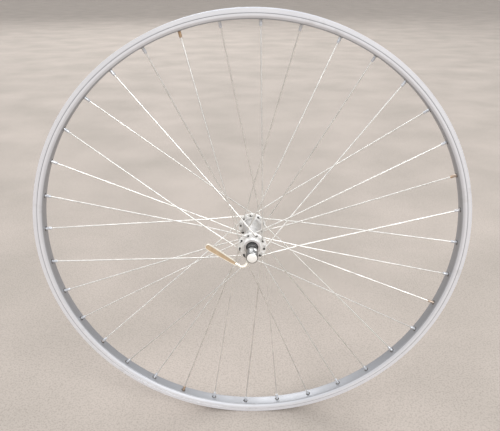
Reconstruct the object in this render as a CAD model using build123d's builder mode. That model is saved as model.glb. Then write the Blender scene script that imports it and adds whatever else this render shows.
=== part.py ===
from build123d import *
import os
from math import asin, cos, pi, radians, sin, sqrt

# Front wheel of a bicycle: rim, thirty-six crossed spokes, cup-and-cone hub and
# quick-release skewer. Millimetres. The origin is the centre of the wheel, the
# axle lies along Y with the quick-release lever at -Y (the left side), +Z is up.
# Angles round the wheel run from +X towards +Z.

os.makedirs("parts", exist_ok=True)

# ---------------------------------------------------------------- rim sizes
bead_seat_radius = 311.0
rim_lip_height = 6.0
rim_height = 13.6
rim_width = 22.0
rim_side_wall = 1.6
rim_inner_wall = 1.3
rim_outer_wall = 1.2
rim_crown_half = 8.0
rim_taper_height = 4.2
rim_hook = 0.7
rim_hook_height = 1.4
rim_hook_slope = 1.4
well_half = 4.5
well_depth = 2.1
chamber_floor_half = 7.15
chamber_shoulder_half = 8.8
chamber_shoulder_height = 3.0
chamber_roof_half = 5.1
wear_groove_offset = 0.1
wear_groove_width = 0.8
wear_groove_depth = 0.35
valve_hole_radius = 3.25
valve_angle = 103.0

# ------------------------------------------------------- spokes and nipples
spoke_count = 36
crossings = 3
first_nipple_angle = 98.0
nipple_stagger = 0.85
spoke_radius = 1.0
spoke_clearance = 0.05
round_sides = 8
head_radius = 2.0
head_height = 1.1
head_taper = 28.0
elbow_offset = 3.8
elbow_bevel = 1.4
nipple_radius = 2.0
nipple_length = 10.0
nipple_head_radius = 2.9
nipple_head_height = 1.8
thread_engagement = 8.0
nipple_clearance = 0.35
access_hole_radius = 3.5
eyelet_radius = 3.5
eyelet_height = 0.45
eyelet_clearance = 0.03

# ---------------------------------------------------------------- hub sizes
flange_spacing = 72.0
flange_thickness = 2.8
flange_radius = 20.75
flange_bevel = 0.6
hole_circle_radius = 17.3
barrel_radius = 10.0
barrel_straight_half = 19.0
bulge_radius = 13.4
bulge_start = 28.0
collar_radius = 12.75
collar_length = 3.6
collar_bevel = 0.5
barrel_bore_radius = 7.6

# ------------------------------------------------------------ bearing sizes
ball_radius = 2.381
balls_per_side = 10
ball_circle_radius = 8.3
ball_inset = 1.8
race_clearance = 0.05
cup_outer_radius = 11.5
cup_base = 0.9
cup_lip = 0.5
cup_length = 7.0
press_clearance = 0.02
dust_cap_bore_radius = 8.7
dust_cap_thickness = 1.2
dust_cap_recess = 0.4
cone_nose_radius = 5.2
cone_nose_length = 1.2
cone_body_radius = 7.8
cone_flat_depth = 1.2
cone_flat_length = 3.2
locknut_sides = 6
lock_washer_radius = 7.0
lock_washer_thickness = 1.2
locknut_width = 14.0
locknut_thickness = 4.3
over_locknuts = 100.0

# --------------------------------------------------------------- axle sizes
axle_radius = 4.5
axle_overhang = 4.0
rod_radius = 2.5
rod_clearance = 0.08
thread_clearance = 0.03

# ------------------------------------------------------- quick-release sizes
dropout_gap = 7.0
housing_radius = 8.4
housing_length = 18.0
housing_dome = 2.2
housing_nose_radius = 6.7
housing_nose_height = 1.1
housing_crown_radius = 3.35
spring_seat_radius = 6.6
spring_seat_depth = 2.0
lever_angle = 150.0
cam_distance = 6.5
cam_throw = 0.8
cam_radius = 2.6
cam_clearance = 0.06
cam_cap_radius = 2.6
cam_cap_height = 1.8
cam_cap_taper = 1.1
rod_head_radius = 5.6
rod_head_half = 3.4
rod_head_web = 1.5
rod_neck_radius = 4.3
rod_head_clearance = 0.08
chamber_floor_gap = 0.6
arm_radius = 2.1
arm_collar_radius = 3.5
arm_collar_length = 1.4
arm_bend_radius = 8.0
arm_gap = 0.3
arm_reach = 20.6
arm_rise = 4.5
paddle_start = 12.0
paddle_length = 50.0
paddle_root_width = 4.6
paddle_tip_width = 8.2
paddle_thickness = 3.4
paddle_drop = 8.0
paddle_dish_depth = 0.7
paddle_dish_border = 1.2
nut_radius = 8.2
nut_tip_radius = 5.8
nut_length = 10.5
nut_straight = 4.0
nut_flutes = 6
nut_flute_radius = 2.6
nut_flute_depth = 0.8
rod_end_inset = 0.8
spring_wire_radius = 0.5
spring_small_radius = 3.5
spring_large_radius = 5.85
spring_turns = 2.5
spring_steps_per_turn = 12
spring_clearance = 0.05

# ------------------------------------------------------------ derived sizes
# cut_overrun is how far cutting shapes run past the faces they cut through.
cut_overrun = 1.0
rim_outer_radius = bead_seat_radius + rim_lip_height
rim_inner_radius = rim_outer_radius - rim_height
inner_wall_top = rim_inner_radius + rim_inner_wall
wear_groove_radius = bead_seat_radius + wear_groove_offset
well_radius = bead_seat_radius - well_depth
outer_wall_under = well_radius - rim_outer_wall
corner_angle = pi / round_sides
spoke_corner_radius = spoke_radius * sqrt(2 * pi / (round_sides * sin(2 * corner_angle)))
crossing_offset = spoke_corner_radius + spoke_clearance
nipple_hole_radius = (nipple_radius + nipple_clearance) / cos(corner_angle)
flange_plane = flange_spacing / 2
ball_plane = flange_plane - ball_inset
flange_outer_face = flange_plane + flange_thickness / 2
flange_inner_face = flange_plane - flange_thickness / 2
spoke_hole_radius = (spoke_corner_radius + spoke_clearance) / cos(corner_angle)
spokes_per_group = spoke_count // 4
nipple_pitch = 360 / spoke_count
hub_hole_pitch = 2 * nipple_pitch
lacing_angle = crossings * hub_hole_pitch
hub_end = flange_outer_face + collar_length
half_over_locknuts = over_locknuts / 2
axle_half_length = half_over_locknuts + axle_overhang
race_reach = ball_radius + race_clearance
clamp_plane = half_over_locknuts + dropout_gap
cam_plane = clamp_plane + cam_distance
spring_seat_plane = clamp_plane + spring_seat_depth
eye_plane = cam_plane + cam_throw
quickest_cam = asin(2 / pi)
cam_lag = cam_throw * (2 * quickest_cam / pi - 1 + cos(quickest_cam))


def around(radius, angle, y):
    """A point at a radius and angle round the axle, in degrees, at y along it."""
    return Vector(radius * cos(radians(angle)), y, radius * sin(radians(angle)))


def about_axle(count, start=0.0):
    """Evenly spaced turns about the axle, from +X towards +Z."""
    return [Location((0, 0, 0), (0, -(start + k * 360 / count), 0)) for k in range(count)]


def outward_plane(radius, y):
    """A plane square to the +X radius of the wheel, facing away from the hub."""
    return Plane(origin=(radius, y, 0), x_dir=(0, 1, 0), z_dir=(1, 0, 0))


# ----------------------------------------------------------------------- rim
half_width = rim_width / 2
inside_half = half_width - rim_side_wall
hook_half = inside_half - rim_hook
hook_under_radius = rim_outer_radius - rim_hook_height - rim_hook_slope
groove_low = wear_groove_radius - wear_groove_width / 2
groove_high = wear_groove_radius + wear_groove_width / 2
taper_top = rim_inner_radius + rim_taper_height

rim_outline = [
    (rim_inner_radius, rim_crown_half),
    (taper_top, half_width),
    (groove_low, half_width),
    (wear_groove_radius, half_width - wear_groove_depth),
    (groove_high, half_width),
    (rim_outer_radius, half_width),
    (rim_outer_radius, hook_half),
    (rim_outer_radius - rim_hook_height, hook_half),
    (hook_under_radius, inside_half),
    (bead_seat_radius, inside_half),
    (well_radius, well_half),
]
chamber_outline = [
    (inner_wall_top, chamber_floor_half),
    (inner_wall_top + chamber_shoulder_height, chamber_shoulder_half),
    (outer_wall_under, chamber_roof_half),
]


def mirrored(points):
    """Corners on the +y side followed by their mirror images in reverse order."""
    return points + [(radius, -y) for radius, y in reversed(points)]


with BuildPart() as rim:
    with BuildSketch(Plane.XY):
        with BuildLine():
            Polyline(*mirrored(rim_outline), close=True)
        make_face()
        with BuildLine():
            Polyline(*mirrored(chamber_outline), close=True)
        make_face(mode=Mode.SUBTRACT)
    revolve(axis=Axis.Y)
    for side, first_hole in ((1, 0), (-1, 1)):
        start = first_nipple_angle + first_hole * nipple_pitch
        with BuildPart(mode=Mode.PRIVATE) as drill:
            with BuildSketch(outward_plane(rim_inner_radius - cut_overrun, side * nipple_stagger)):
                RegularPolygon(nipple_hole_radius, round_sides)
            extrude(amount=rim_inner_wall + 2 * cut_overrun)
            with BuildSketch(outward_plane(outer_wall_under - cut_overrun, side * nipple_stagger)):
                RegularPolygon(access_hole_radius, round_sides)
            extrude(amount=rim_outer_wall + 2 * cut_overrun)
        with Locations(*about_axle(spoke_count // 2, start)):
            add(drill.part, mode=Mode.SUBTRACT)
    with BuildSketch(
        Plane(
            origin=around(rim_inner_radius - cut_overrun, valve_angle, 0),
            x_dir=(0, 1, 0),
            z_dir=around(1, valve_angle, 0),
        )
    ):
        Circle(valve_hole_radius)
    extrude(amount=rim_height, mode=Mode.SUBTRACT)
rim.part.label = "rim"
export_step(rim.part, "parts/rim.step")


# --------------------------------------------------- spokes, nipples, eyelets
def spoke_route(side, nipple_angle, lean):
    """Corners of one spoke from its head to its nipple seat.

    side is -1 on the left flange and 1 on the right. lean is 1 for a spoke that
    lies on the inside of its flange and -1 for one that lies on the outside.
    At the last crossing the inside spoke passes outside the other one.
    """
    hub_angle = nipple_angle + lean * lacing_angle
    head = around(hole_circle_radius, hub_angle, side * (flange_plane + lean * flange_thickness / 2))
    corner = around(hole_circle_radius, hub_angle, side * (flange_plane - lean * elbow_offset))
    seat = around(inner_wall_top, nipple_angle, side * nipple_stagger)
    last_crossing = hub_angle - lean * (crossings - 0.5) * hub_hole_pitch
    straight = around(1, nipple_angle, 0) * inner_wall_top - around(1, hub_angle, 0) * hole_circle_radius
    start = around(hole_circle_radius, hub_angle, 0)
    across = around(1, last_crossing + 90, 0)
    share = -start.dot(across) / straight.dot(across)
    crossing = start + straight * share
    lateral = flange_plane + (nipple_stagger - flange_plane) * share
    crossing = Vector(crossing.X, side * (lateral + lean * crossing_offset), crossing.Z)
    leg = (corner - head).normalized()
    run = (crossing - corner).normalized()
    return head, corner - leg * elbow_bevel, corner + run * elbow_bevel, crossing, seat


spoke_groups = (
    ("left_inner", -1, 1, 1),
    ("left_outer", -1, 3, -1),
    ("right_inner", 1, 2, 1),
    ("right_outer", 1, 0, -1),
)

for group, side, first_spoke, lean in spoke_groups:
    angle = first_nipple_angle + first_spoke * nipple_pitch
    head, bend_start, bend_end, crossing, seat = spoke_route(side, angle, lean)
    pull = (seat - crossing).normalized()
    nipple_mouth = seat - pull * nipple_length
    spoke_end = nipple_mouth + pull * (thread_engagement - spoke_clearance)
    leg = (bend_start - head).normalized()

    with BuildPart() as spoke:
        with BuildLine() as route:
            Polyline(head, bend_start, bend_end, crossing, spoke_end)
        with BuildSketch(Plane(origin=head, z_dir=leg)):
            RegularPolygon(spoke_corner_radius, round_sides)
        sweep(path=route.wire(), transition=Transition.RIGHT)
        with BuildSketch(Plane(origin=head, z_dir=leg * -1)):
            RegularPolygon(head_radius, round_sides)
        extrude(amount=head_height, taper=head_taper)

    with BuildPart() as spokes:
        with Locations(*about_axle(spokes_per_group)):
            add(spoke.part)
    spokes.part.label = f"spokes_{group}"
    export_step(spokes.part, f"parts/spokes_{group}.step")

    with BuildPart() as nipple:
        with BuildSketch(Plane(origin=nipple_mouth, z_dir=pull)):
            RegularPolygon(nipple_radius, round_sides)
        extrude(amount=nipple_length)
        with BuildSketch(Plane(origin=seat, z_dir=pull)):
            RegularPolygon(nipple_radius, round_sides)
        with BuildSketch(Plane(origin=seat + pull * nipple_head_height, z_dir=pull)):
            RegularPolygon(nipple_head_radius, round_sides)
        loft()
        with BuildSketch(Plane(origin=nipple_mouth, z_dir=pull)):
            RegularPolygon(spoke_hole_radius, round_sides)
        extrude(amount=thread_engagement, mode=Mode.SUBTRACT)

    with BuildPart() as nipples:
        with Locations(*about_axle(spokes_per_group)):
            add(nipple.part)
    nipples.part.label = f"nipples_{group}"
    export_step(nipples.part, f"parts/nipples_{group}.step")

with BuildPart() as eyelets:
    for side, first_hole in ((1, 0), (-1, 1)):
        start = first_nipple_angle + first_hole * nipple_pitch
        with BuildPart(mode=Mode.PRIVATE) as eyelet:
            lip_plane = outward_plane(
                rim_inner_radius - eyelet_clearance - eyelet_height, side * nipple_stagger
            )
            with BuildSketch(lip_plane):
                RegularPolygon(eyelet_radius, round_sides)
                RegularPolygon(nipple_hole_radius, round_sides, mode=Mode.SUBTRACT)
            extrude(amount=eyelet_height)
        with Locations(*about_axle(spoke_count // 2, start)):
            add(eyelet.part)
eyelets.part.label = "eyelets"
export_step(eyelets.part, "parts/eyelets.step")

# ------------------------------------------------------------------ hub shell
cup_seat_radius = cup_outer_radius
cup_shoulder = ball_plane - race_reach * sqrt(2) - cup_base
shell_outline = [
    (barrel_bore_radius, cup_shoulder),
    (cup_seat_radius, cup_shoulder),
    (cup_seat_radius, hub_end),
    (collar_radius - collar_bevel, hub_end),
    (collar_radius, hub_end - collar_bevel),
    (collar_radius, flange_outer_face),
    (flange_radius - flange_bevel, flange_outer_face),
    (flange_radius, flange_outer_face - flange_bevel),
    (flange_radius, flange_inner_face + flange_bevel),
    (flange_radius - flange_bevel, flange_inner_face),
    (bulge_radius, flange_inner_face),
    (bulge_radius, bulge_start),
    (barrel_radius, barrel_straight_half),
]

with BuildPart() as hub_shell:
    with BuildSketch(Plane.XY):
        with BuildLine():
            Polyline(*mirrored(shell_outline), close=True)
        make_face()
    revolve(axis=Axis.Y)
    for side, first_hole in ((1, 0), (-1, 1)):
        start = first_nipple_angle + first_hole * nipple_pitch
        flange_base = Plane(
            origin=(hole_circle_radius, side * (flange_plane - flange_thickness), 0),
            z_dir=(0, side, 0),
        )
        with BuildPart(mode=Mode.PRIVATE) as drill:
            with BuildSketch(flange_base):
                RegularPolygon(spoke_hole_radius, round_sides)
            extrude(amount=2 * flange_thickness)
        with Locations(*about_axle(spoke_count // 2, start)):
            add(drill.part, mode=Mode.SUBTRACT)
hub_shell.part.label = "hub_shell"
export_step(hub_shell.part, "parts/hub_shell.step")

# ------------------------------------------------- bearings, one set per side
cup_bore_radius = ball_circle_radius
cup_inner_radius = cup_outer_radius - cup_lip
cup_race_offset = ball_circle_radius + race_reach * sqrt(2)
cone_race_offset = ball_circle_radius - race_reach * sqrt(2)
cone_race_start = ball_plane + cone_nose_radius - cone_race_offset
cone_race_end = ball_plane + cone_body_radius - cone_race_offset
locknut_inner = half_over_locknuts - locknut_thickness
cone_end = locknut_inner - lock_washer_thickness
axle_bore = axle_radius + thread_clearance
dust_cap_outer = hub_end - dust_cap_recess
dust_cap_inner = dust_cap_outer - dust_cap_thickness

for side, hand in ((-1, "left"), (1, "right")):
    cup_outline = [
        (cup_bore_radius, cup_shoulder),
        (cup_outer_radius - press_clearance, cup_shoulder),
        (cup_outer_radius - press_clearance, cup_shoulder + cup_length),
        (cup_inner_radius, cup_shoulder + cup_length),
        (cup_inner_radius, ball_plane + cup_inner_radius - cup_race_offset),
        (cup_bore_radius, ball_plane + cup_bore_radius - cup_race_offset),
    ]
    with BuildPart() as cup:
        with BuildSketch(Plane.XY):
            with BuildLine():
                Polyline(*[(radius, side * y) for radius, y in cup_outline], close=True)
            make_face()
        revolve(axis=Axis.Y)
    cup.part.label = f"bearing_cup_{hand}"
    export_step(cup.part, f"parts/bearing_cup_{hand}.step")

    with BuildPart() as ball:
        for latitude in (-3, -1, 1, 3):
            with BuildSketch(Plane.XY.offset(ball_radius * sin(latitude * corner_angle / 2))):
                RegularPolygon(ball_radius * cos(latitude * corner_angle / 2), round_sides)
        loft(ruled=True)

    with BuildPart() as balls:
        for turn in about_axle(balls_per_side):
            with Locations(turn * Location((ball_circle_radius, side * ball_plane, 0))):
                add(ball.part)
    balls.part.label = f"bearing_balls_{hand}"
    export_step(balls.part, f"parts/bearing_balls_{hand}.step")

    dust_cap_outline = [
        (dust_cap_bore_radius, dust_cap_inner),
        (cup_outer_radius - press_clearance, dust_cap_inner),
        (cup_outer_radius - press_clearance, dust_cap_outer),
        (dust_cap_bore_radius, dust_cap_outer),
    ]
    with BuildPart() as dust_cap:
        with BuildSketch(Plane.XY):
            with BuildLine():
                Polyline(*[(radius, side * y) for radius, y in dust_cap_outline], close=True)
            make_face()
        revolve(axis=Axis.Y)
    dust_cap.part.label = f"dust_cap_{hand}"
    export_step(dust_cap.part, f"parts/dust_cap_{hand}.step")

    cone_outline = [
        (axle_bore, cone_race_start - cone_nose_length),
        (cone_nose_radius, cone_race_start - cone_nose_length),
        (cone_nose_radius, cone_race_start),
        (cone_body_radius, cone_race_end),
        (cone_body_radius, cone_end),
        (axle_bore, cone_end),
    ]
    flat_distance = cone_body_radius - cone_flat_depth
    with BuildPart() as cone:
        with BuildSketch(Plane.XY):
            with BuildLine():
                Polyline(*[(radius, side * y) for radius, y in cone_outline], close=True)
            make_face()
        revolve(axis=Axis.Y)
        flats_start = Plane(origin=(0, side * (cone_end - cone_flat_length), 0), z_dir=(0, side, 0))
        with BuildSketch(flats_start):
            Circle(cone_body_radius + cut_overrun)
            Rectangle(2 * (cone_body_radius + cut_overrun), 2 * flat_distance, mode=Mode.SUBTRACT)
        extrude(amount=2 * cone_flat_length, mode=Mode.SUBTRACT)
    cone.part.label = f"cone_{hand}"
    export_step(cone.part, f"parts/cone_{hand}.step")

    with BuildPart() as lock_washer:
        with BuildSketch(Plane(origin=(0, side * cone_end, 0), z_dir=(0, side, 0))):
            Circle(lock_washer_radius)
            Circle(axle_bore, mode=Mode.SUBTRACT)
        extrude(amount=lock_washer_thickness)
    lock_washer.part.label = f"lock_washer_{hand}"
    export_step(lock_washer.part, f"parts/lock_washer_{hand}.step")

    with BuildPart() as locknut:
        with BuildSketch(Plane(origin=(0, side * locknut_inner, 0), z_dir=(0, side, 0))):
            RegularPolygon(locknut_width / 2, locknut_sides, major_radius=False)
            Circle(axle_bore, mode=Mode.SUBTRACT)
        extrude(amount=locknut_thickness)
    locknut.part.label = f"locknut_{hand}"
    export_step(locknut.part, f"parts/locknut_{hand}.step")

# ---------------------------------------------------------------------- axle
with BuildPart() as axle:
    with BuildSketch(Plane.XZ):
        Circle(axle_radius)
        Circle(rod_radius + rod_clearance, mode=Mode.SUBTRACT)
    extrude(amount=axle_half_length, both=True)
axle.part.label = "axle"
export_step(axle.part, "parts/axle.step")

# ------------------------------------------------------------- skewer springs
spring_start = axle_half_length + spring_clearance + spring_wire_radius
spring_rise = spring_seat_plane - spring_clearance - spring_wire_radius - spring_start
spring_steps = round(spring_turns * spring_steps_per_turn)
spring_growth = (spring_large_radius - spring_small_radius) / spring_steps
for side, hand in ((-1, "left"), (1, "right")):
    coil_base = Plane(origin=(0, side * spring_start, 0), z_dir=(0, side, 0))
    coil_points = []
    for step in range(spring_steps + 1):
        coil_radius = spring_small_radius + spring_growth * step
        coil_turn = 2 * pi * step / spring_steps_per_turn
        coil_height = spring_rise * step / spring_steps
        coil_points.append(
            coil_base.from_local_coords(
                (coil_radius * cos(coil_turn), coil_radius * sin(coil_turn), coil_height)
            )
        )
    with BuildPart() as spring:
        with BuildLine() as coil:
            Polyline(*coil_points)
        with BuildSketch(Plane(origin=coil_points[0], z_dir=coil_points[1] - coil_points[0])):
            RegularPolygon(spring_wire_radius, round_sides)
        sweep(path=coil.wire(), transition=Transition.RIGHT)
    spring.part.label = f"skewer_spring_{hand}"
    export_step(spring.part, f"parts/skewer_spring_{hand}.step")

# ------------------------------------------------------ quick-release lever end
# lever_out points from the closed lever's pivot along its handle; cam_axis is
# the axis of the crosswise cam shaft, square to the handle and to the axle.
lever_out = around(1, lever_angle, 0)
cam_axis = around(1, lever_angle - 90, 0)
cam_centre = Vector(0, -cam_plane, 0)
housing_end = clamp_plane + housing_length
eye_half = cam_radius + cam_lag + cam_clearance
rod_head_shoulder = eye_plane - eye_half
rod_head_inner = rod_head_shoulder - rod_head_web
rod_head_outer = eye_plane + eye_half + rod_head_web
chamber_end = rod_head_outer + chamber_floor_gap
chamber_radius = rod_head_radius + rod_head_clearance
cam_journal_radius = cam_radius + cam_throw + cam_clearance
cam_pin_radius = cam_radius - cam_throw - cam_clearance


def cross_plane(distance, along_handle=0.0, along_axle=0.0):
    """A plane square to the cam shaft, at a distance along it from the axle line.

    Its X runs along the closed handle and its Y away from the wheel.
    """
    origin = cam_centre + cam_axis * distance + lever_out * along_handle
    return Plane(origin=origin - Vector(0, along_axle, 0), x_dir=lever_out, z_dir=cam_axis)


housing_outline = [
    (0, clamp_plane),
    (housing_radius, clamp_plane),
    (housing_radius, housing_end - housing_dome),
    (housing_nose_radius, housing_end - housing_nose_height),
    (housing_crown_radius, housing_end),
    (0, housing_end),
]
with BuildPart() as lever_housing:
    with BuildSketch(Plane.XY):
        with BuildLine():
            Polyline(*[(radius, -y) for radius, y in housing_outline], close=True)
        make_face()
    revolve(axis=Axis.Y)
    with BuildSketch(Plane(origin=(0, -clamp_plane, 0), z_dir=(0, -1, 0))):
        Circle(spring_seat_radius)
    extrude(amount=spring_seat_depth, mode=Mode.SUBTRACT)
    with BuildSketch(Plane(origin=(0, -clamp_plane, 0), z_dir=(0, -1, 0))):
        Circle(chamber_radius)
    extrude(amount=chamber_end - clamp_plane, mode=Mode.SUBTRACT)
    with BuildSketch(cross_plane(0)):
        Circle(cam_journal_radius + cam_clearance)
    extrude(amount=-2 * housing_radius, mode=Mode.SUBTRACT)
    with BuildSketch(cross_plane(0)):
        Circle(cam_pin_radius + cam_clearance)
    extrude(amount=2 * housing_radius, mode=Mode.SUBTRACT)
lever_housing.part.label = "lever_housing"
export_step(lever_housing.part, "parts/lever_housing.step")

# ------------------------------------------------------------------ cam shaft
shaft_reach = housing_radius + arm_gap
cam_reach = rod_head_half + rod_head_clearance
with BuildPart() as cam_shaft:
    with BuildSketch(cross_plane(-shaft_reach)):
        Circle(cam_journal_radius)
    extrude(amount=shaft_reach - cam_reach)
    with BuildSketch(cross_plane(-cam_reach, 0, cam_throw)):
        Circle(cam_radius)
    extrude(amount=2 * cam_reach)
    with BuildSketch(cross_plane(cam_reach)):
        Circle(cam_pin_radius)
    extrude(amount=shaft_reach - cam_reach)
cam_shaft.part.label = "cam_shaft"
export_step(cam_shaft.part, "parts/cam_shaft.step")

with BuildPart() as cam_shaft_cap:
    with BuildSketch(cross_plane(shaft_reach)):
        Circle(cam_cap_radius)
    with BuildSketch(cross_plane(shaft_reach + cam_cap_height)):
        Circle(cam_cap_radius - cam_cap_taper)
    loft()
cam_shaft_cap.part.label = "cam_shaft_cap"
export_step(cam_shaft_cap.part, "parts/cam_shaft_cap.step")

# ----------------------------------------------------------- quick-release lever
handle_direction = (lever_out * paddle_length + Vector(0, paddle_drop, 0)).normalized()
paddle_face = (handle_direction.cross(cam_axis)).normalized()
arm_start = cam_centre - cam_axis * (shaft_reach + arm_collar_length)
paddle_base = (
    cam_centre - cam_axis * arm_reach + lever_out * paddle_start - Vector(0, arm_rise, 0)
)
arm_bend = paddle_base - handle_direction * paddle_start
paddle_plane = Plane(origin=paddle_base, x_dir=handle_direction, z_dir=paddle_face)
paddle_back = paddle_plane.offset(-paddle_thickness / 2)
dish_floor = paddle_plane.offset(paddle_thickness / 2 - paddle_dish_depth)
tip_centre = paddle_length - paddle_tip_width / 2
paddle_cuts = ((paddle_back, 0, Mode.ADD), (dish_floor, paddle_dish_border, Mode.SUBTRACT))

with BuildPart() as quick_release_lever:
    with BuildSketch(cross_plane(-shaft_reach)):
        Circle(arm_collar_radius)
    extrude(amount=-arm_collar_length)
    with BuildLine() as arm_line:
        FilletPolyline(arm_start, arm_bend, paddle_base, radius=arm_bend_radius)
    with BuildSketch(Plane(origin=arm_start, z_dir=(arm_bend - arm_start).normalized())):
        Circle(arm_radius)
    sweep(path=arm_line.wire())
    for plane, border, mode in paddle_cuts:
        root_half = paddle_root_width / 2 - border
        tip_half = paddle_tip_width / 2 - border
        with BuildSketch(plane):
            with BuildLine():
                Polyline(
                    (tip_centre, tip_half),
                    (border, root_half),
                    (border, -root_half),
                    (tip_centre, -tip_half),
                )
                ThreePointArc(
                    (tip_centre, -tip_half), (tip_centre + tip_half, 0), (tip_centre, tip_half)
                )
            make_face()
        extrude(amount=paddle_thickness, mode=mode)
quick_release_lever.part.label = "quick_release_lever"
export_step(quick_release_lever.part, "parts/quick_release_lever.step")

# ------------------------------------------------------ skewer rod and nut end
nut_end = clamp_plane + nut_length
rod_length = rod_head_inner + nut_end - rod_end_inset
with BuildPart() as skewer_rod:
    with BuildSketch(Plane(origin=(0, -rod_head_inner, 0), z_dir=(0, 1, 0))):
        Circle(rod_radius)
    extrude(amount=rod_length)
    with BuildSketch(Plane(origin=(0, -rod_head_shoulder, 0), z_dir=(0, 1, 0))):
        Circle(rod_neck_radius)
    extrude(amount=rod_head_web)
    with BuildSketch(Plane(origin=(0, -rod_head_outer, 0), z_dir=(0, 1, 0))):
        Circle(rod_head_radius)
    extrude(amount=rod_head_outer - rod_head_shoulder)
    for plate_side in (-1, 1):
        with BuildSketch(cross_plane(plate_side * rod_head_half)):
            Rectangle(4 * rod_head_radius, 4 * rod_head_radius)
        extrude(amount=plate_side * rod_head_radius, mode=Mode.SUBTRACT)
    with BuildSketch(cross_plane(-rod_head_radius, -cam_throw / 2, cam_throw)):
        SlotCenterToCenter(cam_throw, 2 * eye_half)
    extrude(amount=2 * rod_head_radius, mode=Mode.SUBTRACT)
skewer_rod.part.label = "skewer_rod"
export_step(skewer_rod.part, "parts/skewer_rod.step")

nut_outline = [
    (rod_radius + thread_clearance, spring_seat_plane),
    (spring_seat_radius, spring_seat_plane),
    (spring_seat_radius, clamp_plane),
    (nut_radius, clamp_plane),
    (nut_radius, clamp_plane + nut_straight),
    (nut_tip_radius, nut_end),
    (rod_radius + thread_clearance, nut_end),
]
with BuildPart() as adjusting_nut:
    with BuildSketch(Plane.XY):
        with BuildLine():
            Polyline(*nut_outline, close=True)
        make_face()
    revolve(axis=Axis.Y)
    with BuildSketch(Plane(origin=(0, clamp_plane + nut_straight, 0), z_dir=(0, 1, 0))):
        with PolarLocations(nut_radius + nut_flute_radius - nut_flute_depth, nut_flutes):
            Circle(nut_flute_radius)
    extrude(amount=nut_length, mode=Mode.SUBTRACT)
adjusting_nut.part.label = "adjusting_nut"
export_step(adjusting_nut.part, "parts/adjusting_nut.step")
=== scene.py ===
import math

import bpy
from mathutils import Matrix, Vector


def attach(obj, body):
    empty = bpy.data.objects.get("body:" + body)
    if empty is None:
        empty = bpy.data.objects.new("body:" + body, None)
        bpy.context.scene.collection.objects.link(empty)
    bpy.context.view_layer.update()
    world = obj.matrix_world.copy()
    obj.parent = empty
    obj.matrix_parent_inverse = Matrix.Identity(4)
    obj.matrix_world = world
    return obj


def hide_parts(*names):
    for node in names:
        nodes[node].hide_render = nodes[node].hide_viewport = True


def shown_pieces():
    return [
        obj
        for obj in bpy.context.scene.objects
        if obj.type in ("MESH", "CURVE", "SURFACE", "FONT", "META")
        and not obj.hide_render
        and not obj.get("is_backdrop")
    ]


# Bicycle front wheel: smooth rim, wire spokes, hub and quick-release around the CAD frame.
# Lengths below are in millimetres and become metres through MM; angles are in degrees.
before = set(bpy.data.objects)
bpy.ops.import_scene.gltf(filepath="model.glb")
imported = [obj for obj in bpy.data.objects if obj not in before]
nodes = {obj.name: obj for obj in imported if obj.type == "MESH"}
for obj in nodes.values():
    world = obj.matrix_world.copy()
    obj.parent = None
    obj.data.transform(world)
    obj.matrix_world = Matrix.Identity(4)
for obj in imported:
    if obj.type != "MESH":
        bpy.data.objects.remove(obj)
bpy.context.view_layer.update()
MM = 0.001
TURN = 2 * math.pi
OUTWARD = Matrix.Rotation(-math.pi / 2, 4, "Z")

BEAD_SEAT = 311.0
RIM_INNER = 303.4
FLANGE_PLANE = 36.0
FLANGE_HALF = 1.4
HOLE_CIRCLE = 17.3
STAGGER = 0.85
FIRST_NIPPLE = 98.0
NIPPLE_PITCH = 10.0
SPOKES_A_SIDE = 18
SPOKES_A_GROUP = 9
SEAT_RADIUS = 304.7
VALVE_ANGLE = 103.0
LACING = 60.0
HUB_PITCH = 20.0
CROSSING_OFFSET = 1.104
CONE_FLAT = 6.6
LOCKNUT_FLAT = 7.0
CAM_PLANE = 63.5
LEVER_ANGLE = 150.0
SPOKE_GROUPS = (
    ("left_inner", -1, 1, 1),
    ("left_outer", -1, 3, -1),
    ("right_inner", 1, 2, 1),
    ("right_outer", 1, 0, -1),
)


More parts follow.
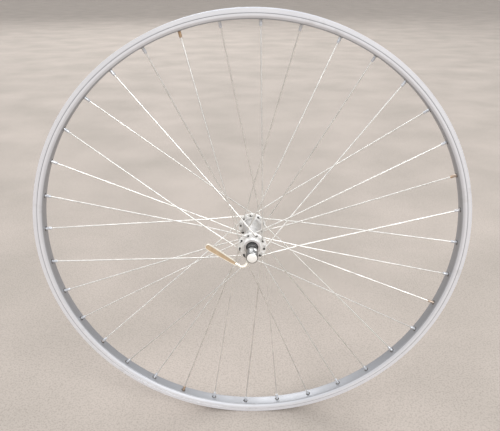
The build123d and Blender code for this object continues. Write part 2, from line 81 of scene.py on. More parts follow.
# ---------------------------------------------------------------- materials
class Finish:
    """A node material whose patterns all read Object coordinates."""

    def __init__(self, name, metallic=1.0, coat=0.0):
        self.material = bpy.data.materials.new(name)
        self.material.use_nodes = True
        self.tree = self.material.node_tree
        self.shader = self.tree.nodes["Principled BSDF"]
        self.shader.inputs["Metallic"].default_value = metallic
        self.shader.inputs["Coat Weight"].default_value = coat
        self.place = self.tree.nodes.new("ShaderNodeTexCoord").outputs["Object"]

    def node(self, kind, **settings):
        made = self.tree.nodes.new(kind)
        for key, value in settings.items():
            setattr(made, key, value)
        return made

    def link(self, output, target):
        self.tree.links.new(output, target)

    def noise(self, scale, detail=4.0, stretch=(1, 1, 1)):
        mapping = self.node("ShaderNodeMapping")
        mapping.inputs["Scale"].default_value = stretch
        self.link(self.place, mapping.inputs["Vector"])
        texture = self.node("ShaderNodeTexNoise")
        texture.inputs["Scale"].default_value = scale
        texture.inputs["Detail"].default_value = detail
        self.link(mapping.outputs["Vector"], texture.inputs["Vector"])
        return texture.outputs["Fac"]

    def from_axle(self):
        """Distance from the axle's centre line, and the place along it."""
        apart = self.node("ShaderNodeSeparateXYZ")
        self.link(self.place, apart.inputs[0])
        square_x = self.node("ShaderNodeMath", operation="MULTIPLY")
        square_z = self.node("ShaderNodeMath", operation="MULTIPLY")
        total = self.node("ShaderNodeMath", operation="ADD")
        radius = self.node("ShaderNodeMath", operation="SQRT")
        for square, axis in ((square_x, "X"), (square_z, "Z")):
            self.link(apart.outputs[axis], square.inputs[0])
            self.link(apart.outputs[axis], square.inputs[1])
            self.link(square.outputs[0], total.inputs[0 if axis == "X" else 1])
        self.link(total.outputs[0], radius.inputs[0])
        return radius.outputs[0], apart.outputs["Y"]

    def bands(self, inner, outer, stops):
        """Shades by distance from the axle, between two radii in millimetres."""
        radius, _ = self.from_axle()
        share = self.range(radius, 0.0, 1.0, inner * MM, outer * MM)
        depth = outer - inner
        return self.ramp(share, [((place - inner) / depth, (shade, shade, shade)) for place, shade in stops])

    def ring_lines(self, scale):
        """Fine lines that run round the axle, as a lathe or a brake block leaves them."""
        radius, along = self.from_axle()
        joined = self.node("ShaderNodeCombineXYZ")
        self.link(radius, joined.inputs["X"])
        self.link(along, joined.inputs["Y"])
        texture = self.node("ShaderNodeTexNoise")
        texture.inputs["Scale"].default_value = scale
        texture.inputs["Detail"].default_value = 3.0
        self.link(joined.outputs[0], texture.inputs["Vector"])
        return texture.outputs["Fac"]

    def ramp(self, factor, stops):
        made = self.node("ShaderNodeValToRGB")
        elements = made.color_ramp.elements
        elements[0].position, elements[0].color = stops[0][0], (*stops[0][1], 1)
        elements[1].position, elements[1].color = stops[-1][0], (*stops[-1][1], 1)
        for position, color in stops[1:-1]:
            elements.new(position).color = (*color, 1)
        self.link(factor, made.inputs["Fac"])
        return made.outputs["Color"]

    def mix(self, factor, first, second, blend="MIX"):
        made = self.node("ShaderNodeMix", data_type="RGBA", blend_type=blend)
        if isinstance(factor, float):
            made.inputs[0].default_value = factor
        else:
            self.link(factor, made.inputs[0])
        for value, socket in ((first, 6), (second, 7)):
            if isinstance(value, tuple):
                made.inputs[socket].default_value = (*value, 1)
            else:
                self.link(value, made.inputs[socket])
        return made.outputs[2]

    def range(self, value, low, high, start=0.3, end=0.7):
        made = self.node("ShaderNodeMapRange")
        for socket, number in zip(made.inputs[1:5], (start, end, low, high)):
            socket.default_value = number
        self.link(value, made.inputs[0])
        return made.outputs[0]

    def color(self, value):
        self.link(value, self.shader.inputs["Base Color"])

    def roughness(self, value):
        self.link(value, self.shader.inputs["Roughness"])

    def bump(self, height, distance, strength=0.5):
        made = self.node("ShaderNodeBump")
        made.inputs["Distance"].default_value = distance
        made.inputs["Strength"].default_value = strength
        self.link(height, made.inputs["Height"])
        self.link(made.outputs["Normal"], self.shader.inputs["Normal"])


def worn_metal(name, light, dark, rough=(0.25, 0.5), scale=60.0, stain=None, stain_from=0.62, metallic=1.0):
    """Metal with cloudy wear, fine scratches and, where stain is given, patches of tarnish."""
    made = Finish(name, metallic)
    clouds = made.noise(scale)
    grain = made.noise(scale * 22, 2.0)
    shade = made.ramp(clouds, ((0.3, dark), (0.62, light)))
    if stain:
        patches = made.range(made.noise(scale * 0.35, 5.0), 0.0, 1.0, stain_from, stain_from + 0.12)
        shade = made.mix(patches, shade, stain)
    made.color(shade)
    made.roughness(made.range(clouds, rough[1], rough[0]))
    made.bump(grain, 0.00004, 0.35)
    return made.material


def rim_finish():
    """Anodised alloy: soft lines round the rim, dull clouds, grey dirt, and painted shade on the spoke bed
    and in the wear groove.
    """
    made = Finish("rim_anodised_alloy", 0.6)
    lines = made.ring_lines(2600.0)
    clouds = made.noise(14.0, 6.0)
    dirt = made.range(made.noise(46.0, 6.0), 0.0, 1.0, 0.6, 0.78)
    shade = made.ramp(lines, (
        (0.25, (0.78, 0.80, 0.86)), (0.6, (0.92, 0.94, 1.0)), (0.85, (0.98, 0.99, 1.0)),
    ))
    shade = made.mix(made.range(clouds, 0.0, 0.25), shade, (0.76, 0.75, 0.75))
    shade = made.mix(made.range(dirt, 0.0, 0.3, 0.0, 1.0), shade, (0.42, 0.40, 0.37))
    # Painted shade: darker towards the spoke bed that faces the hub, and a dark line in the wear groove at
    # the bead seat.
    depth = made.bands(RIM_INNER - 3, RIM_INNER + 23, (
        (RIM_INNER - 3, 0.38), (RIM_INNER + 0.9, 0.45), (RIM_INNER + 1.8, 0.82),
        (BEAD_SEAT - 4, 0.84), (BEAD_SEAT - 3.2, 1.0),
        (BEAD_SEAT - 0.8, 1.0), (BEAD_SEAT, 0.42), (BEAD_SEAT + 0.8, 0.98), (RIM_INNER + 22, 1.0),
    ))
    shade = made.mix(1.0, shade, depth, "MULTIPLY")
    made.color(shade)
    made.roughness(made.range(clouds, 0.36, 0.50))
    made.bump(lines, 0.00005, 0.3)
    return made.material


def spoke_finish():
    """Bright drawn wire, darkened where the elbow leaves the flange: grease and painted shade of the flange
    hole.
    """
    made = Finish("spoke_stainless_wire", 0.95)
    clouds = made.noise(90.0)
    shade = made.ramp(clouds, ((0.3, (0.74, 0.73, 0.70)), (0.62, (0.95, 0.94, 0.91))))
    # Grease and painted shade: the wire is darkened within about 19 mm of the axle, at the elbow in the
    # flange hole.
    grease_and_painted_shade = made.bands(16.6, 19.6, ((16.6, 0.08), (18.2, 0.12), (18.9, 0.9), (19.6, 1.0)))
    made.color(made.mix(1.0, shade, grease_and_painted_shade, "MULTIPLY"))
    made.roughness(made.range(clouds, 0.45, 0.30))
    made.bump(made.noise(1900.0, 2.0), 0.00003, 0.3)
    return made.material


def nipple_finish():
    """Plated brass, bright on some nipples and brown with tarnish on others."""
    made = Finish("nipple_plated_brass", 0.6)
    grain = made.noise(900.0, 3.0)
    region = made.range(made.noise(7.0, 2.0), 0.0, 1.0, 0.56, 0.62)
    bright = made.ramp(grain, ((0.3, (0.50, 0.53, 0.58)), (0.65, (0.80, 0.82, 0.86))))
    brown = made.ramp(grain, ((0.3, (0.34, 0.20, 0.11)), (0.65, (0.62, 0.44, 0.28))))
    made.color(made.mix(region, bright, brown))
    made.roughness(made.range(grain, 0.45, 0.25))
    made.bump(grain, 0.00003, 0.4)
    return made.material


def floor_finish():
    """Pale sand-coloured concrete with fine grit."""
    made = Finish("floor_concrete", metallic=0.0)
    clouds = made.noise(3.2, 7.0)
    grit = made.noise(340.0, 4.0)
    shade = made.ramp(clouds, ((0.3, (0.43, 0.385, 0.345)), (0.7, (0.53, 0.47, 0.425))))
    speck = made.ramp(grit, ((0.36, (0.60, 0.59, 0.57)), (0.54, (1.0, 1.0, 1.0))))
    made.color(made.mix(0.5, shade, speck, "MULTIPLY"))
    made.roughness(made.range(grit, 0.85, 0.95))
    made.bump(grit, 0.0004, 0.25)
    return made.material


rim_alloy = rim_finish()
nipple_brass = nipple_finish()
spoke_wire = spoke_finish()
head_steel = worn_metal(
    "spoke_head_steel", (0.94, 0.94, 0.93), (0.76, 0.75, 0.74),
    (0.25, 0.4), 300, metallic=0.5,
)
eyelet_steel = worn_metal(
    "eyelet_stained_steel", (0.24, 0.22, 0.20), (0.09, 0.08, 0.07),
    (0.35, 0.6), 260, (0.20, 0.12, 0.07),
)
hub_alloy = worn_metal(
    "hub_polished_alloy", (0.96, 0.96, 0.95), (0.82, 0.82, 0.81),
    (0.34, 0.48), 120, (0.66, 0.64, 0.60), metallic=0.5,
)
hub_barrel_satin = worn_metal(
    "hub_satin_barrel", (0.66, 0.65, 0.64), (0.50, 0.49, 0.48),
    (0.48, 0.62), 120, (0.52, 0.50, 0.47), metallic=0.5,
)
# Painted shade: near-black paint in and around the flange's spoke holes.
flange_hole_painted_shade = worn_metal(
    "spoke_hole_painted_shade", (0.09, 0.08, 0.07), (0.03, 0.03, 0.03),
    (0.6, 0.8), 300, metallic=0.2,
)
bearing_steel = worn_metal("bearing_steel", (0.60, 0.61, 0.62), (0.34, 0.34, 0.35), (0.15, 0.35), 300)
cap_steel = worn_metal(
    "dust_cap_steel", (0.76, 0.74, 0.74), (0.54, 0.52, 0.52),
    (0.3, 0.45), 200, metallic=0.6,
)
# Cone, washer and locknut steel are painted dark grey: painted shade of the dust cap's recess, partly
# grease.
cone_steel = worn_metal("cone_steel_painted_shade", (0.24, 0.24, 0.24), (0.11, 0.11, 0.11), (0.3, 0.5), 240)
locknut_steel = worn_metal("locknut_steel_painted_shade", (0.26, 0.26, 0.26), (0.13, 0.13, 0.13), (0.3, 0.5), 240)
axle_steel = worn_metal("axle_steel", (0.36, 0.36, 0.36), (0.16, 0.16, 0.16), (0.35, 0.55), 260)
spring_steel = worn_metal("spring_wire", (0.46, 0.46, 0.45), (0.24, 0.24, 0.23), (0.3, 0.45), 300)
# One alloy housing in two paints: a painted dark reflection on its side and a painted highlight on its domed
# end.
housing_painted_dark_side = worn_metal(
    "housing_painted_reflection_side", (0.33, 0.33, 0.33), (0.20, 0.20, 0.20),
    (0.24, 0.38), 160,
)
housing_painted_light_end = worn_metal(
    "housing_end_painted_highlight", (0.97, 0.96, 0.93), (0.90, 0.88, 0.84),
    (0.38, 0.55), 160, metallic=0.2,
)
cam_steel = worn_metal("cam_ground_steel", (0.62, 0.62, 0.62), (0.36, 0.36, 0.36), (0.2, 0.4), 300)
cam_cap_chrome = worn_metal(
    "cam_cap_chrome", (0.97, 0.97, 0.97), (0.86, 0.86, 0.86),
    (0.15, 0.28), 300, metallic=0.5,
)
lever_alloy = worn_metal(
    "lever_polished_alloy", (0.97, 0.93, 0.84), (0.86, 0.81, 0.70),
    (0.26, 0.40), 110, metallic=0.5,
)
lever_face = worn_metal(
    "lever_champagne_face", (0.60, 0.46, 0.31), (0.50, 0.37, 0.24),
    (0.38, 0.55), 140, metallic=0.25,
)
rod_steel = worn_metal("rod_drawn_steel", (0.56, 0.56, 0.55), (0.32, 0.32, 0.31), (0.25, 0.45), 260)
nut_alloy = worn_metal("nut_polished_alloy", (0.80, 0.80, 0.79), (0.60, 0.60, 0.59), (0.2, 0.35), 160)


# ------------------------------------------------------------- bench helpers
def clear_bench():
    if bpy.context.mode != "OBJECT":
        bpy.ops.object.mode_set(mode="OBJECT")
    bpy.ops.object.select_all(action="DESELECT")


def pick(*pieces):
    clear_bench()
    for piece in pieces:
        piece.select_set(True)
    bpy.context.view_layer.objects.active = pieces[0]


def edit(piece, mode="VERT"):
    pick(piece)
    bpy.ops.object.mode_set(mode="EDIT")
    bpy.ops.mesh.select_mode(type=mode)


def close_up(piece, angle=35.0, merge=0.000002):
    """Merges doubled points, turns the faces outwards and smooths all but the sharp edges."""
    edit(piece)
    bpy.ops.mesh.select_all(action="SELECT")
    bpy.ops.mesh.remove_doubles(threshold=merge)
    bpy.ops.mesh.normals_make_consistent(inside=False)
    bpy.ops.object.mode_set(mode="OBJECT")
    bpy.ops.object.shade_smooth_by_angle(angle=math.radians(angle))
    return piece


def drawn(name, profile):
    """A closed chain of edges through the points given, drawn one by one; left in edit mode."""
    clear_bench()
    bpy.ops.mesh.primitive_plane_add(size=MM)
    piece = bpy.context.object
    piece.name = name
    edit(piece)
    bpy.ops.mesh.select_all(action="SELECT")
    bpy.ops.mesh.merge(type="CENTER")
    bpy.ops.transform.translate(value=(profile[0][0] * MM, profile[0][1] * MM, 0))
    for here, there in zip(profile, profile[1:] + profile[:1]):
        step = ((there[0] - here[0]) * MM, (there[1] - here[1]) * MM, 0)
        bpy.ops.mesh.extrude_region_move(TRANSFORM_OT_translate={"value": step})
    bpy.ops.mesh.select_all(action="SELECT")
    bpy.ops.mesh.remove_doubles(threshold=0.000002)
    return piece


def turned(name, profile, steps=96, axis=(0, 1, 0), angle=35.0):
    """A ring or knob turned about the axle from a (radius, along) profile."""
    piece = drawn(name, profile)
    bpy.ops.mesh.spin(steps=steps, angle=TURN, center=(0, 0, 0), axis=axis)
    return close_up(piece, angle)


def finish_with(piece, kind, **settings):
    pick(piece)
    added = piece.modifiers.new(kind.lower(), kind)
    for key, value in settings.items():
        setattr(added, key, value)
    bpy.ops.object.modifier_apply(modifier=added.name)
    return piece


def soften(piece, width, segments, angle):
    """Rounds the edges that are sharper than the angle."""
    limit = math.radians(angle)
    finish_with(piece, "BEVEL", width=width * MM, segments=segments, limit_method="ANGLE", angle_limit=limit)


def cut(piece, cutter):
    finish_with(piece, "BOOLEAN", operation="DIFFERENCE", solver="EXACT", object=cutter)
    bpy.data.objects.remove(cutter)
    return piece


def copies(piece, places, name):
    """Copies of a piece, each with its own mesh, set at the places given and joined as one."""
    made = []
    for place in places:
        pick(piece)
        bpy.ops.object.duplicate(linked=False)
        made.append(bpy.context.object)
        bpy.context.object.matrix_world = place
    bpy.data.objects.remove(piece)
    pick(*made)
    bpy.ops.object.transform_apply(location=True, rotation=True, scale=True)
    bpy.ops.object.join()
    joined = bpy.context.object
    joined.name = name
    return joined


def around(radius, angle, y):
    """The point at a radius and an angle about the axle."""
    turn = math.radians(angle)
    return Vector((radius * math.cos(turn), y, radius * math.sin(turn)))


def about_axle(count, start=0.0):
    """Even turns about the axle, from the starting angle on."""
    return [Matrix.Rotation(-math.radians(start + k * 360 / count), 4, "Y") for k in range(count)]


def stand_at(origin, direction):
    """Turns a piece made about +Y so that its +Y runs along the direction from the origin."""
    turn = Vector((0, 1, 0)).rotation_difference(direction.normalized())
    return Matrix.Translation(origin * MM) @ turn.to_matrix().to_4x4()


def paint(piece, *materials):
    piece.data.materials.clear()
    for material in materials:
        piece.data.materials.append(material)
    return piece


def stands_for(piece, body, slot, *replaced):
    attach(piece, body)
    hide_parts(*replaced)
    return piece


def mirrored(profile):
    """Adds the other half of a profile that is the same on both sides of the wheel's middle."""
    return profile + [(radius, -y) for radius, y in reversed(profile)]


def each_spoke():
    """The side of each spoke, right first, with its turn about the axle."""
    for side, first in ((1, 0), (-1, NIPPLE_PITCH)):
        for turn in about_axle(SPOKES_A_SIDE, FIRST_NIPPLE + first):
            yield side, turn


def spoke_bed_places(radius):
    """Where the 36 nipples pass the rim, for a piece that is made about +Y and points outwards."""
    return [
        turn @ Matrix.Translation((radius * MM, side * STAGGER * MM, 0)) @ OUTWARD
        for side, turn in each_spoke()
    ]


# ----------------------------------------------------------------------- rim
rim_profile = mirrored([
    (303.4, 7.6), (303.55, 8.2), (307.3, 10.85), (307.9, 11.0), (310.75, 11.0), (311.1, 10.65),
    (311.45, 11.0), (316.7, 11.0), (317.0, 10.7), (317.0, 9.0), (316.7, 8.7), (315.7, 8.7),
    (314.3, 9.3), (311.2, 9.4), (311.0, 9.2), (309.1, 4.8), (308.9, 4.3),
])
rim_ring = turned("rim_ring", rim_profile, 240, angle=28.0)
chamber = turned("chamber", mirrored([(304.7, 7.15), (307.7, 8.8), (307.75, 5.1)]), 240)
cut(rim_ring, chamber)
drill = turned("drill", [
    (0, 301.0), (2.45, 301.0), (2.45, 306.3), (4.2, 306.3), (4.2, 314.0), (0, 314.0),
], 24)
cut(rim_ring, copies(drill, spoke_bed_places(0), "drills"))
valve_drill = turned("valve_drill", [(0, 300.0), (3.25, 300.0), (3.25, 314.0), (0, 314.0)], 32)
cut(rim_ring, copies(valve_drill, [about_axle(1, VALVE_ANGLE)[0] @ OUTWARD], "valve_cut"))
pick(rim_ring)
bpy.ops.object.shade_smooth_by_angle(angle=math.radians(28))
paint(rim_ring, rim_alloy)
stands_for(rim_ring, "wheel", "rim_alloy", "rim")

# ---------------------------------------------------- spokes, nipples, eyelets
eyelet = turned("eyelet", [
    (2.45, -0.03), (2.45, -0.3), (2.75, -0.48), (3.1, -0.48), (3.5, -0.2), (3.5, -0.03),
], 24)
eyelets = paint(copies(eyelet, spoke_bed_places(RIM_INNER), "eyelet_rings"), eyelet_steel)
stands_for(eyelets, "wheel", "eyelet_steel", "eyelets")


def spoke_route(side, nipple_angle, lean):
    """Head, elbow corner, last crossing and nipple seat of one spoke."""
    hub_angle = nipple_angle + lean * LACING
    head = around(HOLE_CIRCLE, hub_angle, side * (FLANGE_PLANE + lean * FLANGE_HALF))
    corner = around(HOLE_CIRCLE, hub_angle, side * (FLANGE_PLANE - lean * 3.8))
    seat = around(SEAT_RADIUS, nipple_angle, side * STAGGER)
    start = around(HOLE_CIRCLE, hub_angle, 0)
    straight = around(SEAT_RADIUS, nipple_angle, 0) - start
    across = around(1, hub_angle - lean * 2.5 * HUB_PITCH + 90, 0)
    share = -start.dot(across) / straight.dot(across)
    crossing = start + straight * share
    crossing.y = side * (FLANGE_PLANE + (STAGGER - FLANGE_PLANE) * share + lean * CROSSING_OFFSET)
    return head, corner, crossing, seat


def bent_wire(name, head, corner, crossing, end):
    """One round spoke wire: straight shank, elbow, slight bend at the crossing, straight to the end."""
    clear_bench()
    bpy.ops.curve.primitive_bezier_curve_add(location=(0, 0, 0))
    piece = bpy.context.object
    piece.name = name
    line = piece.data.splines[0]
    line.bezier_points.add(3)
    leg = (corner - head).normalized()
    run = (crossing - corner).normalized()
    bend = 1.7
    stops = (head, corner - leg * bend, corner + run * bend, crossing, end)
    for point, stop in zip(line.bezier_points, stops):
        point.handle_left_type = point.handle_right_type = "FREE"
        point.co = stop * MM
    for index, (point, stop) in enumerate(zip(line.bezier_points, stops)):
        before = stops[max(index - 1, 0)]
        after = stops[min(index + 1, 4)]
        point.handle_left = stop.lerp(before, 1 / 3) * MM
        point.handle_right = stop.lerp(after, 1 / 3) * MM
    line.bezier_points[1].handle_right = (corner - leg * bend * 0.4) * MM
    line.bezier_points[2].handle_left = (corner + run * bend * 0.4) * MM
    piece.data.resolution_u = 5
    piece.data.bevel_depth = 1.0 * MM
    piece.data.bevel_resolution = 2
    piece.data.use_fill_caps = True
    bpy.ops.object.convert(target="MESH")
    return close_up(bpy.context.object, 50)


for group, side, first_spoke, lean in SPOKE_GROUPS:
    first_angle = FIRST_NIPPLE + NIPPLE_PITCH * first_spoke
    head, corner, crossing, seat = spoke_route(side, first_angle, lean)
    pull = (seat - crossing).normalized()
    mouth = seat - pull * 10.0
    wire = paint(bent_wire("wire", head, corner, crossing, mouth + pull * 6.0), spoke_wire)
    button = turned("button", [
        (0, -0.4), (1.0, -0.4), (1.9, 0.05), (2.0, 0.3), (1.75, 0.8), (1.1, 1.08), (0, 1.15),
    ], 20)
    paint(button, head_steel)
    pick(button)
    button.matrix_world = stand_at(head, head - corner)
    bpy.ops.object.transform_apply(location=True, rotation=True, scale=True)
    pick(wire, button)
    bpy.ops.object.join()
    wires = copies(wire, about_axle(SPOKES_A_GROUP), f"spoke_wires_{group}")
    stands_for(wires, "wheel", "spoke_steel", f"spokes_{group}")

    nipple = turned("nipple", [
        (0, 1.5), (1.1, 1.3), (1.1, 0.0), (1.6, 0.0), (1.95, 0.5), (2.0, 4.0), (2.0, 9.6),
        (2.25, 10.2), (2.9, 11.6), (2.4, 12.4), (0, 12.6),
    ], 20)
    nipple.matrix_world = stand_at(mouth, pull)
    pick(nipple)
    bpy.ops.object.transform_apply(location=True, rotation=True, scale=True)
    nipples = paint(copies(nipple, about_axle(SPOKES_A_GROUP), f"nipple_set_{group}"), nipple_brass)
    stands_for(nipples, "wheel", "nipple_brass", f"nipples_{group}")

# ------------------------------------------------------------------ hub shell
hub_profile = mirrored([
    (7.6, 29.6), (11.5, 29.9), (11.5, 40.8), (11.7, 41.0), (12.3, 41.0), (12.75, 40.6), (12.75, 37.9),
    (13.2, 37.45), (19.9, 37.4), (20.5, 37.15), (20.75, 36.7), (20.75, 35.3), (20.5, 34.85), (19.9, 34.6),
    (14.2, 34.6), (13.4, 34.0), (13.4, 29.0), (13.1, 27.4), (12.2, 24.6), (10.9, 21.2), (10.15, 18.6),
    (10.0, 16.5),
])
hub = turned("hub_barrel", hub_profile, 128, angle=40.0)
bore_drill = turned("flange_drill", [
    (0, 33.0), (1.6, 33.0), (1.6, 34.4), (1.2, 34.9), (1.2, 37.1), (1.6, 37.6), (1.6, 39.0), (0, 39.0),
], 20)
facing = {1: Matrix.Identity(4), -1: Matrix.Rotation(math.pi, 4, "X")}
hole_place = Matrix.Translation((HOLE_CIRCLE * MM, 0, 0))
flange_holes = [turn @ hole_place @ facing[side] for side, turn in each_spoke()]
cut(hub, copies(bore_drill, flange_holes, "flange_drills"))
pick(hub)
bpy.ops.object.shade_smooth_by_angle(angle=math.radians(40))
paint(hub, hub_alloy, flange_hole_painted_shade, hub_barrel_satin)
hole_angles = [FIRST_NIPPLE + NIPPLE_PITCH * k for k in range(2 * SPOKES_A_SIDE)]
# Faces in and around the spoke holes take the painted shade; the barrel's faces take the satin alloy.
for face in hub.data.polygons:
    place = face.center / MM
    nearest = min((place - around(HOLE_CIRCLE, angle, place.y)).length for angle in hole_angles)
    off_plane = abs(place.y) - FLANGE_PLANE
    if nearest < 1.7 and -1.3 < off_plane < 1.35:
        face.material_index = 1
    elif off_plane < -1.6:
        face.material_index = 2
stands_for(hub, "wheel", "hub_alloy", "hub_shell")

# ------------------------------------------------------- bearings and hardware
for side, hand in ((-1, "left"), (1, "right")):
    cap = turned(f"dust_cap_ring_{hand}", [
        (8.7, side * 39.5), (8.7, side * 40.4), (8.9, side * 40.6), (11.0, side * 40.6),
        (11.4, side * 40.4), (11.45, side * 39.4), (9.0, side * 39.4),
    ], 72)
    stands_for(paint(cap, cap_steel), "wheel", "dust_cap_alloy", f"dust_cap_{hand}")
    cone = turned(f"cone_body_{hand}", [
        (4.53, side * 33.4), (5.2, side * 33.4), (5.2, side * 34.5), (7.6, side * 37.1), (7.8, side * 37.5),
        (7.8, side * 44.2), (7.5, side * 44.5), (4.53, side * 44.5),
    ], 72)
    for edge in (1, -1):
        clear_bench()
        place = (0, side * 43.3 * MM, edge * (CONE_FLAT + 3.0) * MM)
        bpy.ops.mesh.primitive_cube_add(size=MM, location=place, scale=(20, 4, 6))
        slab = bpy.context.object
        bpy.ops.object.transform_apply(location=True, rotation=True, scale=True)
        cut(cone, slab)
    pick(cone)
    bpy.ops.object.shade_smooth_by_angle(angle=math.radians(35))
    stands_for(paint(cone, cone_steel), "axle_group", "cone_steel", f"cone_{hand}")
    washer = turned(f"lock_washer_ring_{hand}", [
        (4.53, side * 44.5), (6.8, side * 44.5), (7.0, side * 44.65), (7.0, side * 45.55),
        (6.8, side * 45.7), (4.53, side * 45.7),
    ], 64)
    stands_for(paint(washer, locknut_steel), "axle_group", "washer_steel", f"lock_washer_{hand}")

    rough_radius = 9.2
    nut = turned(f"locknut_hex_{hand}", [
        (4.53, side * 45.7), (rough_radius, side * 45.7), (rough_radius, side * 50.0), (4.53, side * 50.0),
    ], 6, angle=20.0)
    pick(nut)
    shrink = LOCKNUT_FLAT / (rough_radius * math.cos(math.pi / 6))
    nut.matrix_world = Matrix.Diagonal((shrink, 1, shrink, 1))
    bpy.ops.object.transform_apply(location=False, rotation=False, scale=True)
    bore = turned("nut_bore", [
        (0, side * 44.0), (4.55, side * 44.0), (4.55, side * 52.0), (0, side * 52.0),
    ], 48)
    cut(nut, bore)
    soften(nut, 0.35, 2, 40)
    pick(nut)
    bpy.ops.object.shade_smooth_by_angle(angle=math.radians(35))
    stands_for(paint(nut, locknut_steel), "axle_group", "locknut_steel", f"locknut_{hand}")
    paint(nodes[f"bearing_cup_{hand}"], bearing_steel)
    paint(nodes[f"bearing_balls_{hand}"], bearing_steel)
    paint(nodes[f"skewer_spring_{hand}"], spring_steel)

axle_tube = turned("axle_tube", [
    (2.58, -54.0), (4.1, -54.0), (4.5, -53.6), (4.5, 53.6), (4.1, 54.0), (2.58, 54.0),
], 64)
stands_for(paint(axle_tube, axle_steel), "axle_group", "axle_steel", "axle")

# -------------------------------------------------------- quick-release skewer
cam_centre = Vector((0, -CAM_PLANE, 0))
lever_out = around(1, LEVER_ANGLE, 0)
cam_axis = around(1, LEVER_ANGLE - 90, 0)
to_cam = stand_at(cam_centre, cam_axis)

housing = turned("lever_housing_body", [
    (0, -72.6), (5.68, -72.6), (5.68, -59.0), (6.6, -59.0), (6.6, -57.0), (8.1, -57.0), (8.4, -57.3),
    (8.4, -72.3), (8.2, -72.75), (6.95, -73.5), (6.75, -73.55), (6.4, -73.75), (5.2, -74.35),
    (3.6, -74.75), (1.8, -74.95), (0, -75.0),
], 96, angle=24.0)
journal = turned("journal_cut", [
    (0, -12.0), (3.52, -12.0), (3.52, 0), (1.8, 0), (1.8, 12.0), (0, 12.0),
], 40)
pick(journal)
journal.matrix_world = to_cam
bpy.ops.object.transform_apply(location=True, rotation=True, scale=True)
cut(housing, journal)
pick(housing)
bpy.ops.object.shade_smooth_by_angle(angle=math.radians(24))
paint(housing, housing_painted_dark_side, housing_painted_light_end)
# The domed end's faces take the painted highlight; the side keeps the painted dark reflection.
for face in housing.data.polygons:
    if face.center.y < -73.5 * MM:
        face.material_index = 1
stands_for(housing, "housing", "housing_alloy", "lever_housing")
paint(nodes["cam_shaft"], cam_steel)
cap = turned("cam_cap_dome", [
    (0, 8.7), (2.6, 8.7), (2.6, 8.95), (2.3, 9.7), (1.7, 10.25), (0.9, 10.47), (0, 10.5),
], 40)
pick(cap)
cap.matrix_world = to_cam
bpy.ops.object.transform_apply(location=True, rotation=True, scale=True)
stands_for(paint(cap, cam_cap_chrome), "lever", "cam_cap_steel", "cam_shaft_cap")

# The lever: a collar on the cam shaft, a bent round arm and a dished paddle.
handle = (lever_out * 50.0 + Vector((0, 8.0, 0))).normalized()
paddle_face = handle.cross(cam_axis).normalized()
paddle_base = cam_centre - cam_axis * 20.6 + lever_out * 12.0 - Vector((0, 4.5, 0))
arm_start = cam_centre - cam_axis * 9.2
arm_bend = paddle_base - handle * 11.5
flank = [(0, 2.2), (0.6, 2.6)] + [(10 + 3.6 * k, 3.1 + 0.14 * k) for k in range(9)]
tip_turns = [math.radians(90 - 15 * k) for k in range(13)]
tip = [(45.9 + 4.1 * math.cos(turn), 4.1 * math.sin(turn)) for turn in tip_turns]
paddle = drawn("lever_paddle", flank + tip + [(x, -y) for x, y in reversed(flank)])
bpy.ops.mesh.edge_face_add()
bpy.ops.transform.translate(value=(0, 0, -1.7 * MM))
bpy.ops.mesh.extrude_region_move(TRANSFORM_OT_translate={"value": (0, 0, 3.4 * MM)})
bpy.ops.object.mode_set(mode="OBJECT")
close_up(paddle)
edit(paddle, "FACE")
bpy.ops.mesh.select_all(action="DESELECT")
bpy.ops.object.mode_set(mode="OBJECT")
for face in paddle.data.polygons:
    face.select = abs(face.normal.z) > 0.9
bpy.ops.object.mode_set(mode="EDIT")
bpy.ops.mesh.inset(thickness=0.9 * MM, depth=0)
bpy.ops.mesh.inset(thickness=0.45 * MM, depth=-0.5 * MM)
bpy.ops.object.mode_set(mode="OBJECT")
soften(paddle, 0.55, 3, 50)
paint(paddle, lever_alloy, lever_face)
for face in paddle.data.polygons:
    if abs(face.normal.z) > 0.6 and abs(face.center.y) < 3.2 * MM and abs(face.center.z) < 1.6 * MM:
        face.material_index = 1
across = paddle_face.cross(handle)
lie = Matrix((handle, across, paddle_face)).transposed().to_4x4()
paddle.matrix_world = Matrix.Translation(paddle_base * MM) @ lie
pick(paddle)
bpy.ops.object.transform_apply(location=True, rotation=True, scale=True)

clear_bench()
bpy.ops.curve.primitive_bezier_curve_add(location=(0, 0, 0))
arm = bpy.context.object
arm.name = "lever_arm"
line = arm.data.splines[0]
line.bezier_points.add(2)
inward = (arm_bend - arm_start).normalized()
stops = (arm_start, arm_bend - inward * 7.0, arm_bend + handle * 6.5, paddle_base + handle * 2.5)
for index, (point, stop) in enumerate(zip(line.bezier_points, stops)):
    point.handle_left_type = point.handle_right_type = "FREE"
    point.co = stop * MM
    point.handle_left = stop.lerp(stops[max(index - 1, 0)], 1 / 3) * MM
    point.handle_right = stop.lerp(stops[min(index + 1, 3)], 1 / 3) * MM
line.bezier_points[1].handle_right = (arm_bend - inward * 2.6) * MM
line.bezier_points[2].handle_left = (arm_bend + handle * 2.4) * MM
arm.data.resolution_u = 10
arm.data.bevel_depth = 2.4 * MM
arm.data.bevel_resolution = 5
arm.data.use_fill_caps = True
bpy.ops.object.convert(target="MESH")
arm = paint(close_up(bpy.context.object, 50), lever_alloy)
collar = turned("lever_collar", [
    (0, -10.1), (3.1, -10.1), (3.5, -9.8), (3.5, -9.0), (3.2, -8.7), (0, -8.7),
], 48)
pick(collar)
collar.matrix_world = to_cam
bpy.ops.object.transform_apply(location=True, rotation=True, scale=True)
paint(collar, lever_alloy)
pick(paddle, arm, collar)
bpy.ops.object.join()
paddle.name = "lever_handle"
pick(paddle)
bpy.ops.object.shade_smooth_by_angle(angle=math.radians(40))
stands_for(paddle, "lever", "lever_alloy", "quick_release_lever")
paint(nodes["skewer_rod"], rod_steel)
paint(nodes["adjusting_nut"], nut_alloy)

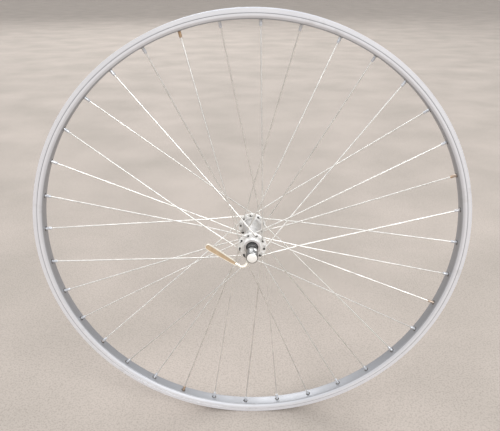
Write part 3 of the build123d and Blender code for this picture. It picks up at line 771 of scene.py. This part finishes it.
# -------------------------------------------------------------- floor and light
clear_bench()
bpy.ops.mesh.primitive_grid_add(x_subdivisions=8, y_subdivisions=8, size=70, location=(0, 0, -0.3172))
floor = bpy.context.object
floor.name = "studio_floor"
bpy.ops.object.transform_apply(location=True, rotation=True, scale=True)
paint(floor, floor_finish())
floor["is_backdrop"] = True

world = bpy.data.worlds.new("studio")
bpy.context.scene.world = world
world.use_nodes = True
sky = world.node_tree
backdrop = sky.nodes["Background"]
reach = sky.nodes.new("ShaderNodeTexCoord")
apart = sky.nodes.new("ShaderNodeSeparateXYZ")
shades = sky.nodes.new("ShaderNodeValToRGB")
lift = sky.nodes.new("ShaderNodeMapRange")
lift.inputs[1].default_value, lift.inputs[2].default_value = -0.3, 1.0
sky.links.new(reach.outputs["Generated"], apart.inputs[0])
sky.links.new(apart.outputs["Z"], lift.inputs[0])
sky.links.new(lift.outputs[0], shades.inputs["Fac"])
sky.links.new(shades.outputs["Color"], backdrop.inputs["Color"])
stops = shades.color_ramp.elements
stops[0].position, stops[0].color = 0.0, (0.32, 0.30, 0.29, 1)
stops[1].position, stops[1].color = 1.0, (1.0, 1.0, 1.0, 1)
stops.new(0.28).color = (0.31, 0.30, 0.29, 1)
stops.new(0.48).color = (0.92, 0.92, 0.93, 1)
backdrop.inputs["Strength"].default_value = 0.85


def softbox(name, place, aim, size, power):
    clear_bench()
    bpy.ops.object.light_add(type="AREA", location=place)
    lamp = bpy.context.object
    lamp.name = name
    lamp.data.shape = "DISK"
    lamp.data.size = size
    lamp.data.energy = power
    lamp.rotation_euler = (Vector(aim) - Vector(place)).to_track_quat("-Z", "Y").to_euler()


softbox("key_softbox", (3.9, -6.6, 5.4), (0, 0, 0), 5.4, 486)
softbox("fill_softbox", (-6.6, -4.2, 4.5), (0, 0, 0), 4.8, 135)
softbox("back_softbox", (-1.2, 7.2, 5.1), (0, 0, 0), 5.4, 252)

clear_bench()
bpy.ops.object.camera_add(location=(-0.00013, -0.7678, 0.3512))
camera = bpy.context.object
camera.rotation_euler = (math.radians(67.442), 0, math.radians(0.215))
camera.data.lens = 41.19
camera.data.sensor_width = 36.0
camera.data.clip_start = 0.01
camera.data.clip_end = 300
bpy.context.scene.camera = camera
bpy.context.scene.view_settings.view_transform = "Standard"

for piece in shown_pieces():
    if piece.type == "MESH" and not piece.data.materials:
        print("no material", piece.name)
